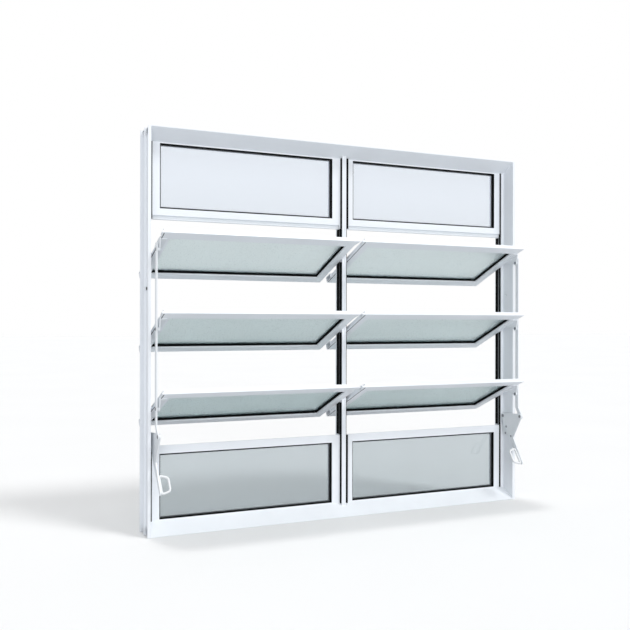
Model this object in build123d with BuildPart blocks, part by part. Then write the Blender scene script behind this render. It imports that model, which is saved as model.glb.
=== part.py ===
from build123d import *
import os
from math import cos, radians, sin, sqrt, tan

# A white aluminium pivot window with two columns. Each column has a fixed light at the top,
# three sashes that turn on side pivots, and a fixed light at the bottom. A flat rod and a
# lever beside each jamb turn the three sashes of a column together.
#
# X runs along the width, +Y points outdoors and +Z points up. The origin is on the underside
# of the sill, at the middle of the width and of the frame's depth. The room is on the -Y side.

os.makedirs("parts", exist_ok=True)

# Outer frame
width = 1108.0
height = 1000.0
depth = 75.0
wall = 2.0

# Depth of the room part of the frame, in front of the lights
room_depth = 45.0

# Jambs: width of the room flange, reach of the wall beside the lights, and the nose on it
flange_width = 8.0
rear_reach = 15.0
nose_reach = 1.5
rib_depth = 36.0
fixing_height = 605.0
fixing_setback = 32.0
fixing_radius = 2.6

# Head and sill: edge seen from the room, height of the slope, floor that carries the lights
edge_height = 2.0
slope_height = 29.5
seat_height = 13.0
keeper_height = 5.0

# Mullion
mullion_width = 12.0
mullion_depth = 40.0
mullion_lip = 1.0
groove_width = 3.0
groove_depth = 1.5

# Fixed lights
light_depth = 18.0
light_stile = 21.0
light_rail = 19.5
top_light_low = 778.5
top_light_sightline = 805.5
drip_height = 9.5
drip_depth = 5.0
bottom_light_high = 216.0
bottom_light_sightline = 195.5
lap_thickness = 4.0

# Glazing
glass_thickness = 4.0
glass_play = 0.3
light_reveal = 8.0
glazing_lip = 5.0
gasket_width = 3.0
gasket_setback = 1.0

# Sashes: the pivots, then the section, measured from the pivot line
pivot_pitch = 191.5
middle_pivot_height = 501.5
pivot_setback = 50.0
rest_angle = 66.5
sash_gap = 5.0
sash_top = 122.0
sash_bottom = 125.5
top_rail = 31.0
bottom_rail = 27.0
sash_stile = 22.0
sash_room_side = 7.0
sash_outer_side = 9.0
top_rail_outer_side = 3.0
stile_flange = 5.0
stile_notch = 6.0
sash_reveal = 10.0
fin_height = 25.0
fin_thickness = 2.0
jamb_fin = 3.5
mullion_fin = 8.5
edge_groove = 1.2
edge_groove_depth = 0.6
rail_wall = 1.6
port_radius = 2.8
port_bore = 1.4

# Pivot pins
pin_radius = 2.5
running_clearance = 0.05
pin_reach = 4.0

# Seals beside the sashes
light_seal = 4.5
light_seal_depth = 10.0
sash_seal_gap = 1.0
front_fin = 11.0
rear_fin = 10.0
pin_window = 6.0

# Operating rods, ears and levers
rod_reach = 12.0
rod_thickness = 3.0
rod_width = 12.0
rod_end = 10.0
arm_forward = 76.5
arm_up = 4.5
ear_thickness = 2.5
ear_eye = 7.0
ear_foot_low = 44.0
ear_foot_high = 92.0
ear_foot_width = 15.0
ear_foot_thickness = 2.0
collar_radius = 4.5
side_play = 0.3

lever_pivot_setback = 33.0
lever_pivot_height = 245.0
lever_thickness = 3.0
lever_hub = 7.0
lever_eye = 8.0
lever_knee_forward = 37.0
lever_knee_down = 61.0
lever_knee = 9.0
lever_arm_forward = 48.0
lever_arm_down = 68.0
lever_arm_tip = 5.0
lever_pin_radius = 3.0
bracket_thickness = 3.0
bracket_width = 34.0
bracket_height = 68.0
bracket_boss = 6.5
bracket_drop = 58.0
bracket_back = 10.0

handle_length = 54.0
handle_reach = 27.0
handle_taper = 8.0
handle_stroke = 5.0

# Places that follow from the sizes above
room_face = -depth / 2
outer_face = depth / 2
step_face = room_face + room_depth
mullion_face = outer_face - mullion_depth
light_outer = step_face + light_depth
glass_face = step_face + light_reveal
nose = rear_reach + nose_reach
light_side = nose + light_seal
sash_side = nose + sash_gap
pivot_y = room_face + pivot_setback
slope = (slope_height - edge_height) / room_depth
slope_skin = wall * sqrt(1 + slope**2)
mullion_half = mullion_width / 2
mullion_web = mullion_half - mullion_lip
lean = radians(rest_angle)
up_sash = (0, -sin(lean), cos(lean))
into_room = (0, -cos(lean), -sin(lean))
pivot_heights = {
    "top": middle_pivot_height + pivot_pitch,
    "middle": middle_pivot_height,
    "bottom": middle_pivot_height - pivot_pitch,
}
sides = {"left": -1, "right": 1}


def inward(side, reach):
    """X of a point that lies the given reach inward from the outer edge of one jamb."""
    return side * (width / 2 - reach)


def slope_outline(base, upward):
    """Filled outline of the head or sill in the YZ plane, from its outer edge inward."""
    corners = [
        (room_face, 0),
        (outer_face, 0),
        (outer_face, seat_height),
        (light_outer + wall, seat_height),
        (light_outer + wall, seat_height + keeper_height),
        (light_outer, seat_height + keeper_height),
        (light_outer, seat_height),
        (step_face, seat_height),
        (step_face, slope_height),
        (room_face, edge_height),
    ]
    with BuildSketch(Plane.YZ.offset(-width / 2)) as outline:
        with BuildLine():
            Polyline([(y, base + upward * rise) for y, rise in corners], close=True)
        make_face()
    return outline.sketch


def chamber_outlines(base, upward):
    """The two hollows of the head or sill: under the slope, and under the lights' seat."""
    under_slope = [
        (room_face + slope_skin / slope, wall),
        (step_face - wall, wall),
        (step_face - wall, edge_height + slope * (room_depth - wall) - slope_skin),
    ]
    under_seat = [
        (step_face, wall),
        (outer_face - wall, wall),
        (outer_face - wall, seat_height - wall),
        (step_face, seat_height - wall),
    ]
    with BuildSketch(Plane.YZ.offset(-width / 2)) as hollows:
        for corners in (under_slope, under_seat):
            with BuildLine():
                Polyline([(y, base + upward * rise) for y, rise in corners], close=True)
            make_face()
    return hollows.sketch


def finish(piece, name):
    """Label a piece and write it to its own file."""
    piece.part.label = name
    export_step(piece.part, f"parts/{name}.step")


# Head and sill
# They run through the webs of the jambs, so that their hollow ends show from outside.

through = inward(1, flange_width - wall)
for name, base, upward in (("sill", 0, 1), ("head", height, -1)):
    with BuildPart() as member:
        extrude(slope_outline(base, upward), amount=width)
        extrude(chamber_outlines(base, upward), amount=width, mode=Mode.SUBTRACT)
        split(bisect_by=Plane.YZ.offset(through), keep=Keep.BOTTOM)
        split(bisect_by=Plane.YZ.offset(-through), keep=Keep.TOP)
    finish(member, name)

# Jambs
# Each is a channel open to the outer side, with a rib at mid depth.

for side_name, side in sides.items():
    corners = [
        (0, room_face),
        (flange_width, room_face),
        (flange_width, step_face),
        (nose, step_face),
        (nose, step_face + wall),
        (rear_reach, step_face + wall),
        (rear_reach, outer_face),
        (0, outer_face),
        (0, outer_face - wall),
        (rear_reach - wall, outer_face - wall),
        (rear_reach - wall, step_face + wall),
        (flange_width - wall, step_face + wall),
        (flange_width - wall, room_face + rib_depth + wall),
        (0, room_face + rib_depth + wall),
        (0, room_face + rib_depth),
        (flange_width - wall, room_face + rib_depth),
        (flange_width - wall, room_face + wall),
        (0, room_face + wall),
    ]
    with BuildPart() as jamb:
        with BuildSketch(Plane.XY):
            with BuildLine():
                Polyline([(inward(side, reach), y) for reach, y in corners], close=True)
            make_face()
        extrude(amount=height)
        with BuildSketch(Plane.YZ.offset(inward(side, nose))):
            for pivot_z in pivot_heights.values():
                with Locations((pivot_y, pivot_z)):
                    Circle(pin_radius + running_clearance)
        extrude(amount=side * rear_reach, mode=Mode.SUBTRACT)
        with BuildSketch(Plane.YZ.offset(inward(side, flange_width))):
            with Locations((room_face + fixing_setback, fixing_height)):
                Circle(fixing_radius)
        extrude(amount=side * wall, mode=Mode.SUBTRACT)
        for base, upward in ((0, 1), (height, -1)):
            shift = inward(side, flange_width - wall) + width / 2
            notch = slope_outline(base, upward).moved(Location((shift, 0, 0)))
            extrude(notch, amount=-side * rear_reach, mode=Mode.SUBTRACT)
    finish(jamb, f"{side_name}_jamb")

# Mullion
# A slim box with a wider grooved front flange, coped to the slopes of the head and sill.

with BuildPart() as mullion:
    with BuildSketch(Plane.XY.offset(edge_height)):
        with Locations((0, (mullion_face + outer_face) / 2)):
            Rectangle(2 * mullion_web, mullion_depth)
            Rectangle(2 * (mullion_web - wall), mullion_depth - 2 * wall, mode=Mode.SUBTRACT)
        with Locations((0, mullion_face + wall / 2)):
            Rectangle(mullion_width, wall)
        with Locations((0, mullion_face + groove_depth / 2)):
            Rectangle(groove_width, groove_depth, mode=Mode.SUBTRACT)
    extrude(amount=height - 2 * edge_height)
    with BuildSketch(Plane.YZ.offset(-mullion_width)):
        for pivot_z in pivot_heights.values():
            with Locations((pivot_y, pivot_z)):
                Circle(pin_radius + running_clearance)
    extrude(amount=2 * mullion_width, mode=Mode.SUBTRACT)
    for base, upward in ((0, 1), (height, -1)):
        extrude(slope_outline(base, upward), amount=width, mode=Mode.SUBTRACT)
finish(mullion, "mullion")

# Fixed lights
# Each frame is a ring with a glazing rebate open to the room and a lip behind the glass.
# The lower rail of a top light has a drip recess. The upper rail of a bottom light is a thin
# lap, so that the lowest sash closes behind it.

light_panes = []
light_gaskets = []
for side_name, side in sides.items():
    outer_x = inward(side, light_side)
    inner_x = side * (mullion_half + light_seal)
    light_x = (outer_x + inner_x) / 2
    light_width = abs(outer_x - inner_x)
    opening_width = light_width - 2 * light_stile
    spans = {
        "top": (top_light_low, height - seat_height, top_light_sightline, height - seat_height - light_rail),
        "bottom": (seat_height, bottom_light_high, seat_height + light_rail, bottom_light_sightline),
    }
    for level, (low, high, opening_low, opening_high) in spans.items():
        opening_z = (opening_low + opening_high) / 2
        opening_height = opening_high - opening_low
        lip_opening = (opening_width - 2 * glazing_lip, opening_height - 2 * glazing_lip)
        with BuildPart() as light:
            with BuildSketch(Plane.XZ.offset(-step_face)):
                with Locations((light_x, (low + high) / 2)):
                    Rectangle(light_width, high - low)
                with Locations((light_x, opening_z)):
                    Rectangle(*lip_opening, mode=Mode.SUBTRACT)
            extrude(amount=-light_depth)
            with BuildSketch(Plane.XZ.offset(-step_face)):
                with Locations((light_x, opening_z)):
                    Rectangle(opening_width, opening_height)
            extrude(amount=-(light_reveal + glass_thickness), mode=Mode.SUBTRACT)
            if level == "top":
                with BuildSketch(Plane.XZ.offset(-step_face)):
                    with Locations((light_x, low + drip_height / 2)):
                        Rectangle(light_width, drip_height)
                extrude(amount=-drip_depth, mode=Mode.SUBTRACT)
            else:
                with BuildSketch(Plane.XZ.offset(-light_outer)):
                    with Locations((light_x, (high + opening_high + wall) / 2)):
                        Rectangle(light_width, high - opening_high - wall)
                extrude(amount=light_depth - lap_thickness, mode=Mode.SUBTRACT)
        finish(light, f"{level}_{side_name}_light")
        light_panes.append((light_x, opening_z, opening_width, opening_height))

with BuildPart() as fixed_glass:
    with BuildSketch(Plane.XZ.offset(-glass_face)):
        for light_x, opening_z, opening_width, opening_height in light_panes:
            with Locations((light_x, opening_z)):
                Rectangle(opening_width - 2 * glass_play, opening_height - 2 * glass_play)
    extrude(amount=-glass_thickness)
finish(fixed_glass, "fixed_glass")

with BuildPart() as fixed_gaskets:
    with BuildSketch(Plane.XZ.offset(-glass_face)):
        for light_x, opening_z, opening_width, opening_height in light_panes:
            with Locations((light_x, opening_z)):
                Rectangle(opening_width, opening_height)
                Rectangle(
                    opening_width - 2 * gasket_width,
                    opening_height - 2 * gasket_width,
                    mode=Mode.SUBTRACT,
                )
    extrude(amount=light_reveal - gasket_setback)
finish(fixed_gaskets, "fixed_gaskets")

# Seals
# Beside the lights a seal fills the joint. Between them two fins stand on the jamb or the
# mullion, with windows for the pivot pins.

seal_seats = [
    (inward(-1, rear_reach), 1, step_face + wall, light_side - rear_reach, nose_reach),
    (-mullion_web, -1, mullion_face + wall, light_seal + mullion_lip, mullion_lip),
    (mullion_web, 1, mullion_face + wall, light_seal + mullion_lip, mullion_lip),
    (inward(1, rear_reach), -1, step_face + wall, light_side - rear_reach, nose_reach),
]
seal_low = bottom_light_high + sash_seal_gap
seal_high = top_light_low - sash_seal_gap
with BuildPart() as seals:
    for seat_x, facing, seal_face, joint, stand in seal_seats:
        for low, high in ((slope_height, bottom_light_high), (top_light_low, height - slope_height)):
            with BuildSketch(Plane.XY.offset(low)):
                with Locations((seat_x + facing * joint / 2, seal_face + light_seal_depth / 2)):
                    Rectangle(joint, light_seal_depth)
            extrude(amount=high - low)
        with BuildSketch(Plane.XY.offset(seal_low)):
            with Locations((seat_x + facing * stand / 2, seal_face + front_fin / 2)):
                Rectangle(stand, front_fin)
            with Locations((seat_x + facing * stand / 2, outer_face - wall - rear_fin / 2)):
                Rectangle(stand, rear_fin)
        extrude(amount=seal_high - seal_low)
    with BuildSketch(Plane.YZ.offset(-width / 2)):
        for pivot_z in pivot_heights.values():
            with Locations((pivot_y, pivot_z)):
                Rectangle(2 * pin_window, 2 * pin_window)
    extrude(amount=width, mode=Mode.SUBTRACT)
finish(seals, "seals")

# Sashes
# A sash is drawn on its own leaning plane through the pivot line: X along the width, Y up the
# sash and Z into the room. Its rails are hollow, with a screw port in the upper one.


def sash_plane(pivot_z, out=0.0):
    """The leaning plane of a sash, moved into the room by the given amount."""
    origin = Vector(0, pivot_y, pivot_z) + Vector(*into_room) * out
    return Plane(origin=origin, x_dir=(1, 0, 0), z_dir=into_room)


def sash_section(pivot_z, at_x):
    """Plane across the rails of a sash: X up the sash, Y into the room."""
    return Plane(origin=(at_x, pivot_y, pivot_z), x_dir=up_sash, z_dir=(1, 0, 0))


sash_thickness = sash_room_side + sash_outer_side
opening_top = sash_top - top_rail
opening_bottom = -(sash_bottom - bottom_rail)
glass_outer = sash_room_side - sash_reveal - glass_thickness
body_top = opening_top + wall
sash_opening_height = opening_top - opening_bottom
sash_opening_mid = (opening_top + opening_bottom) / 2

for side_name, side in sides.items():
    jamb_x = inward(side, sash_side)
    mullion_x = side * (mullion_half + sash_gap)
    low_x = min(jamb_x, mullion_x)
    high_x = max(jamb_x, mullion_x)
    sash_x = (low_x + high_x) / 2
    sash_width = high_x - low_x
    sash_opening_width = sash_width - 2 * sash_stile
    for level, pivot_z in pivot_heights.items():
        with BuildPart() as sash:
            with BuildSketch(sash_plane(pivot_z, -sash_outer_side)):
                with Locations((sash_x, (body_top - sash_bottom) / 2)):
                    Rectangle(sash_width, body_top + sash_bottom)
                with Locations((sash_x, sash_opening_mid)):
                    Rectangle(
                        sash_opening_width - 2 * glazing_lip,
                        sash_opening_height - 2 * glazing_lip,
                        mode=Mode.SUBTRACT,
                    )
            extrude(amount=sash_thickness)
            with BuildSketch(sash_section(pivot_z, low_x)):
                with Locations(
                    ((opening_top + sash_top) / 2, (sash_room_side - top_rail_outer_side) / 2)
                ):
                    Rectangle(top_rail, sash_room_side + top_rail_outer_side)
            extrude(amount=sash_width)
            for edge_x, facing, fin_plate in ((low_x, -1, stile_flange), (high_x, 1, fin_thickness)):
                fin = jamb_fin if edge_x == jamb_x else mullion_fin
                with BuildSketch(sash_plane(pivot_z, sash_room_side - fin_plate)):
                    with BuildLine():
                        Polyline(
                            (edge_x, sash_top),
                            (edge_x + facing * fin, sash_top),
                            (edge_x, sash_top - fin_height),
                            close=True,
                        )
                    make_face()
                extrude(amount=fin_plate)
            with BuildSketch(sash_plane(pivot_z, glass_outer)):
                with Locations((sash_x, sash_opening_mid)):
                    Rectangle(sash_opening_width, sash_opening_height)
            extrude(amount=sash_thickness, mode=Mode.SUBTRACT)
            with BuildSketch(sash_plane(pivot_z, -top_rail_outer_side)):
                with Locations((high_x - stile_notch / 2, (sash_top + opening_top) / 2)):
                    Rectangle(stile_notch, top_rail)
            extrude(amount=top_rail_outer_side + sash_room_side - fin_thickness, mode=Mode.SUBTRACT)
            with BuildSketch(sash_section(pivot_z, low_x)):
                with Locations((sash_top - edge_groove_depth / 2, edge_groove / 2)):
                    Rectangle(edge_groove_depth, edge_groove)
            extrude(amount=sash_width, mode=Mode.SUBTRACT)
            with BuildSketch(sash_plane(pivot_z, -sash_outer_side)):
                for edge_x, facing in ((low_x, 1), (high_x, -1)):
                    with Locations((edge_x + facing * stile_notch / 2, (body_top + opening_bottom) / 2)):
                        Rectangle(stile_notch, body_top - opening_bottom)
            extrude(amount=sash_thickness - stile_flange, mode=Mode.SUBTRACT)
            with BuildSketch(sash_section(pivot_z, low_x)):
                top_mid = ((opening_top + sash_top) / 2, (sash_room_side - top_rail_outer_side) / 2)
                with Locations(top_mid):
                    Rectangle(top_rail - 2 * rail_wall, sash_room_side + top_rail_outer_side - 2 * rail_wall)
                with Locations((sash_top - rail_wall / 2 - port_radius, top_mid[1])):
                    Circle(port_radius, mode=Mode.SUBTRACT)
                    Circle(port_bore)
                with Locations(((opening_bottom - sash_bottom) / 2, (sash_room_side - sash_outer_side) / 2)):
                    Rectangle(bottom_rail - 2 * rail_wall, sash_thickness - 2 * rail_wall)
            extrude(amount=sash_width, mode=Mode.SUBTRACT)
            with BuildSketch(Plane.YZ.offset(low_x + stile_notch)):
                with Locations((pivot_y, pivot_z)):
                    Circle(pin_radius)
            extrude(amount=-(stile_notch + sash_gap + nose_reach + pin_reach))
            with BuildSketch(Plane.YZ.offset(high_x - stile_notch)):
                with Locations((pivot_y, pivot_z)):
                    Circle(pin_radius)
            extrude(amount=stile_notch + sash_gap + nose_reach + pin_reach)
        finish(sash, f"{side_name}_{level}_sash")

        with BuildPart() as pane:
            with BuildSketch(sash_plane(pivot_z, glass_outer)):
                with Locations((sash_x, sash_opening_mid)):
                    Rectangle(sash_opening_width - 2 * glass_play, sash_opening_height - 2 * glass_play)
            extrude(amount=glass_thickness)
        finish(pane, f"{side_name}_{level}_glass")

        with BuildPart() as gasket:
            with BuildSketch(sash_plane(pivot_z, glass_outer + glass_thickness)):
                with Locations((sash_x, sash_opening_mid)):
                    Rectangle(sash_opening_width, sash_opening_height)
                    Rectangle(
                        sash_opening_width - 2 * gasket_width,
                        sash_opening_height - 2 * gasket_width,
                        mode=Mode.SUBTRACT,
                    )
            extrude(amount=sash_reveal - gasket_setback)
        finish(gasket, f"{side_name}_{level}_gasket")

# Ears
# An ear is an angle riveted to the stile beside the jamb. Its plate holds the rod's pin.

arm_on_sash = arm_forward * sin(lean) + arm_up * cos(lean)
arm_into_room = arm_forward * cos(lean) - arm_up * sin(lean)
ear_reach = sash_side - ear_thickness
for side_name, side in sides.items():
    for level, pivot_z in pivot_heights.items():
        eye_y = pivot_y - arm_forward
        eye_z = pivot_z + arm_up
        with BuildPart() as ear:
            with BuildSketch(sash_section(pivot_z, inward(side, sash_side))):
                with BuildLine():
                    Polyline(
                        (ear_foot_low, sash_room_side - stile_flange),
                        (ear_foot_high, sash_room_side - stile_flange),
                        (ear_foot_high, sash_room_side + ear_foot_thickness),
                        (arm_on_sash + ear_eye, arm_into_room),
                        (arm_on_sash - ear_eye, arm_into_room),
                        (ear_foot_low, sash_room_side + ear_foot_thickness),
                        close=True,
                    )
                make_face()
                with Locations((arm_on_sash, arm_into_room)):
                    Circle(ear_eye)
            extrude(amount=side * ear_thickness)
            with BuildSketch(sash_plane(pivot_z, sash_room_side)):
                foot_x = inward(side, (ear_reach + sash_side + ear_foot_width) / 2)
                with Locations((foot_x, (ear_foot_low + ear_foot_high) / 2)):
                    Rectangle(ear_foot_width + ear_thickness, ear_foot_high - ear_foot_low)
            extrude(amount=ear_foot_thickness)
            collar_reach = rod_reach + rod_thickness + side_play
            with BuildSketch(Plane.YZ.offset(inward(side, ear_reach))):
                with Locations((eye_y, eye_z)):
                    Circle(collar_radius)
            extrude(amount=side * (ear_reach - collar_reach))
            with BuildSketch(Plane.YZ.offset(inward(side, ear_reach))):
                with Locations((eye_y, eye_z)):
                    Circle(pin_radius)
            extrude(amount=side * (ear_reach - rod_reach + side_play))
        finish(ear, f"{side_name}_{level}_ear")

# Rods
# A flat bar with a foot plate that reaches forward to the lever's pin.

rod_y = pivot_y - arm_forward
lever_y = room_face + lever_pivot_setback
lever_eye_y = lever_y - arm_forward
lever_eye_z = lever_pivot_height + arm_up
rod_top = pivot_heights["top"] + arm_up + rod_end
foot_top = lever_eye_z + 2 * lever_eye + rod_end
for side_name, side in sides.items():
    with BuildPart() as rod:
        with BuildSketch(Plane.YZ.offset(inward(side, rod_reach + rod_thickness))):
            with Locations((rod_y, (rod_top + foot_top) / 2)):
                RectangleRounded(rod_width, rod_top - foot_top + rod_width, rod_width / 2 - 0.5)
            with BuildLine():
                Polyline(
                    (rod_y + rod_width / 2, foot_top),
                    (rod_y - rod_width / 2, foot_top),
                    (lever_eye_y - lever_eye, lever_eye_z),
                    (lever_eye_y, lever_eye_z - lever_eye),
                    (lever_eye_y + lever_eye, lever_eye_z),
                    close=True,
                )
            make_face()
            with Locations((lever_eye_y, lever_eye_z)):
                Circle(lever_eye)
                Circle(lever_pin_radius + running_clearance, mode=Mode.SUBTRACT)
            for pivot_z in pivot_heights.values():
                with Locations((rod_y, pivot_z + arm_up)):
                    Circle(pin_radius + running_clearance, mode=Mode.SUBTRACT)
        extrude(amount=side * rod_thickness)
    finish(rod, f"{side_name}_rod")

# Lever brackets
# A plate on the jamb's inner wall, with a boss and the pin that carries the lever.

lever_reach = rod_reach + rod_thickness + side_play
for side_name, side in sides.items():
    with BuildPart() as bracket:
        plate_y = lever_y - bracket_width / 2 + bracket_back
        plate_z = lever_pivot_height - bracket_drop + bracket_height / 2
        with BuildSketch(Plane.YZ.offset(inward(side, flange_width))):
            with Locations((plate_y, plate_z)):
                RectangleRounded(bracket_width, bracket_height, bracket_back / 2)
        extrude(amount=-side * bracket_thickness)
        with BuildSketch(Plane.YZ.offset(inward(side, flange_width))):
            with Locations((lever_y, lever_pivot_height)):
                Circle(bracket_boss)
        extrude(amount=-side * (lever_reach - side_play - flange_width))
        with BuildSketch(Plane.YZ.offset(inward(side, flange_width))):
            with Locations((lever_y, lever_pivot_height)):
                Circle(lever_pin_radius)
        extrude(amount=-side * (lever_reach + lever_thickness + side_play - flange_width))
    finish(bracket, f"{side_name}_lever_bracket")

# Levers
# A bell crank with the rod's pin, a knee and a tapering arm. The loop handle stands inward
# from the end of the arm.

knee_y = lever_y - lever_knee_forward
knee_z = lever_pivot_height - lever_knee_down
tip_y = knee_y - lever_arm_forward
tip_z = knee_z - lever_arm_down
arm_length = sqrt(lever_arm_forward**2 + lever_arm_down**2)
arm_slope = (lever_arm_forward / arm_length, lever_arm_down / arm_length)
for side_name, side in sides.items():
    with BuildPart() as lever:
        with BuildSketch(Plane.YZ.offset(inward(side, lever_reach + lever_thickness))):
            with BuildSketch(mode=Mode.PRIVATE) as crank_discs:
                with Locations((lever_y, lever_pivot_height)):
                    Circle(lever_hub)
                with Locations((lever_eye_y, lever_eye_z)):
                    Circle(lever_eye)
                with Locations((knee_y, knee_z)):
                    Circle(lever_knee)
            make_hull(crank_discs.sketch.edges())
            with BuildSketch(mode=Mode.PRIVATE) as arm_discs:
                with Locations((knee_y, knee_z)):
                    Circle(lever_knee)
                with Locations((tip_y, tip_z)):
                    Circle(lever_arm_tip)
            make_hull(arm_discs.sketch.edges())
            with Locations((lever_y, lever_pivot_height)):
                Circle(lever_pin_radius + running_clearance, mode=Mode.SUBTRACT)
        extrude(amount=side * lever_thickness)
        with BuildSketch(Plane.YZ.offset(inward(side, lever_reach))):
            with Locations((lever_eye_y, lever_eye_z)):
                Circle(lever_pin_radius)
        extrude(amount=side * (rod_thickness + 2 * side_play))
    finish(lever, f"{side_name}_lever")

    handle_x = inward(side, lever_reach + lever_thickness)
    with BuildPart() as handle:
        across_loop = (0, -side * arm_slope[1], side * arm_slope[0])
        with BuildSketch(Plane((handle_x, tip_y, tip_z), x_dir=(-side, 0, 0), z_dir=across_loop)):
            with BuildLine():
                Polyline(
                    (0, lever_arm_tip),
                    (0, lever_arm_tip - handle_length),
                    (handle_reach, lever_arm_tip - handle_length + handle_taper),
                    (handle_reach, lever_arm_tip - handle_taper),
                    close=True,
                )
            make_face()
            offset(amount=-handle_stroke, mode=Mode.SUBTRACT)
        extrude(amount=handle_stroke / 2, both=True)
    finish(handle, f"{side_name}_handle")
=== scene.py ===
"""Dresses a white aluminium pivot window with finishes, gaskets, seals, handles and rivets."""

import math

import bmesh
import bpy
import numpy as np
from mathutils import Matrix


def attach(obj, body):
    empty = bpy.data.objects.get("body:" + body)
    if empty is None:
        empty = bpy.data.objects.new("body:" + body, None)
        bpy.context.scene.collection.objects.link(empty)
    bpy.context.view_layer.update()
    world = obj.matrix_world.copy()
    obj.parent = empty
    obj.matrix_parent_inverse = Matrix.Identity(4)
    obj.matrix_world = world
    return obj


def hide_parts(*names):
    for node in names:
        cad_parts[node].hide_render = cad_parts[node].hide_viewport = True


bl_info = {
    "name": "Pivot window dressing",
    "version": (1, 0, 0),
    "blender": (4, 5, 0),
    "location": "View3D > Sidebar > Pivot window",
    "description": "Finishes, glass, gaskets, seals, handles and rivets of a pivot window",
    "category": "Object",
}

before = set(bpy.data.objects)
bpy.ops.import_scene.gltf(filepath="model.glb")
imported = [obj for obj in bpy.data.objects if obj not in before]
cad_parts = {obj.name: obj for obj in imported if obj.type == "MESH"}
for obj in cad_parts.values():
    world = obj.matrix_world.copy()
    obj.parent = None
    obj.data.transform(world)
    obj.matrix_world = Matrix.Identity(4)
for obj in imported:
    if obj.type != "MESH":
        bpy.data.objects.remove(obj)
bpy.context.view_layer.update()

MM = 0.001
SIDES = {"left": -1, "right": 1}
LEVELS = {"top": 0.693, "middle": 0.5015, "bottom": 0.310}

# Places that the CAD model gives, in metres
HALF_WIDTH = 0.554
HEIGHT = 1.0
STEP_FACE = 0.0075
MULLION_FACE = -0.0025
LIGHT_GLASS = 0.0155
LIGHT_OPENINGS = {"top": (0.8055, 0.9675), "bottom": (0.0325, 0.1955)}
LIGHT_MIDDLE = 0.27175
LIGHT_OPENING_WIDTH = 0.4805
LIGHT_SEAL = 0.0045
PIVOT_Y = 0.0125
LEAN = math.radians(66.5)
SASH_OPENING_WIDTH = 0.4775
SASH_OPENING = (-0.0985, 0.091)
SASH_GLASS = -0.003
SASH_HALF_WIDTH = 0.26075
SASH_ROOM_SIDE = 0.007
SLOPE_HEIGHT = 0.0295
BOTTOM_LIGHT_HIGH = 0.216
TOP_LIGHT_LOW = 0.7785
SEAL_END = 0.001
PIN_WINDOW = 0.006
FIXING = (-0.0055, 0.605)
PORTS = ((0.0135, 0.0081, -90.0), (0.0295, 0.0081, -90.0), (0.0026, 0.0105, 180.0))
ROD_PIN = (-0.064, 0.0045)
LEVER_PIVOT = (-0.0045, 0.245)
LEVER_EYE = (-0.081, 0.2495)
KNEE = (-0.0415, 0.184)
ARM_TIP = (-0.0895, 0.116)

UP_SASH = np.array((0.0, -math.sin(LEAN), math.cos(LEAN)))
INTO_ROOM = np.array((0.0, -math.cos(LEAN), -math.sin(LEAN)))
ALONG_WIDTH = np.array((1.0, 0.0, 0.0))
TOWARD_ROOM = np.array((0.0, -1.0, 0.0))
UPRIGHT = np.array((0.0, 0.0, 1.0))

# Parts that only the scene has, in metres
JAMB_SEAT, JAMB_JOINT = 15 * MM, 6 * MM
MULLION_SEAT, MULLION_JOINT = 5 * MM, LIGHT_SEAL + 1 * MM
JOINT_SETBACK, JOINT_DEPTH = 2 * MM, 10 * MM
JAMB_FINS = ((9.5 * MM, 14.5 * MM), (23.0 * MM, 34.0 * MM))
MULLION_FINS = ((-0.4 * MM, 12.0 * MM), (15.5 * MM, 30.0 * MM))
BRUSH_WIDTH, BRUSH_SHARE = 3.2 * MM, 0.8
COVER_LEFT, COVER_WIDTH, COVER_STAND = -10.6 * MM, 2.9 * MM, 0.4 * MM
# Painted shade: the black strip along each sash's left stile stands for the shaded side of the stile.
SHADE_LINE_LOW, SHADE_LINE_HIGH = -0.119, 0.118
SHADE_LINE_WIDTH, SHADE_LINE_STAND, SHADE_LINE_INSET = 1.5 * MM, 0.7 * MM, 0.7 * MM
GROMMET_REACH, GROMMET_BORE = 6.2 * MM, 2.2 * MM
GROMMET_RADIUS, GROMMET_STAND = 4.4 * MM, 1.2 * MM
PORT_RADIUS, PORT_BORE = 2.9 * MM, 1.6 * MM
PORT_START, PORT_END = 7.5 * MM, 47.5 * MM
PORT_ARC = (35.0, 325.0)
HANDLE_REACH, HANDLE_END = 18.3 * MM, 5 * MM
HANDLE_LEAN, BAR_POWER = 0.6, 3.2

# Places of the heads: how far in from the jamb's outer edge, then depth and height
ROD_BACK, EAR_FACE = 11.75 * MM, 21.4 * MM
LEVER_FACE, PIVOT_FACE, BRACKET_FACE = 18.2 * MM, 18.5 * MM, 10.9 * MM
LEVER_RIVETS = ((KNEE[0] - 0.6 * MM, KNEE[1] + 4 * MM), (-20.5 * MM, 214 * MM))
BRACKET_RIVETS = ((-7.5 * MM, 193 * MM), (-24 * MM, 249.5 * MM))
BACK_SHARE, LARGE_SHARE = 0.7, 1.1

# Sections, as shares of a width and of a depth or height
LIPPED_JOINT = np.array((
    (0.0, 0.0), (0.0, 1.0), (1.0, 1.0), (1.0, -0.2), (1.3, -0.21), (1.28, -0.26), (0.9, -0.26),
    (0.7, -0.1), (0.5, 0.0),
))
COVERED_JOINT = np.array((
    (0.0, 0.0), (0.0, 1.0), (1.0, 1.0), (1.0, 0.92), (0.6, 0.9), (0.42, 0.7), (0.38, 0.0),
))
FIN_LIP = np.array((
    (0.0, 0.0), (0.3, 0.0), (0.62, 0.04), (0.9, 0.16), (1.0, 0.34), (0.96, 0.5), (0.8, 0.44),
    (0.5, 0.4), (0.34, 0.5), (0.3, 0.62), (0.32, 0.75), (0.26, 0.88), (0.28, 1.0), (0.0, 1.0),
))
HEAD = np.array((
    (0.98, 0.0), (1.0, 0.18), (0.95, 0.45), (0.82, 0.72), (0.62, 0.92), (0.42, 1.0), (0.34, 0.96),
    (0.3, 0.7), (0.05, 0.66),
))
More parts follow.
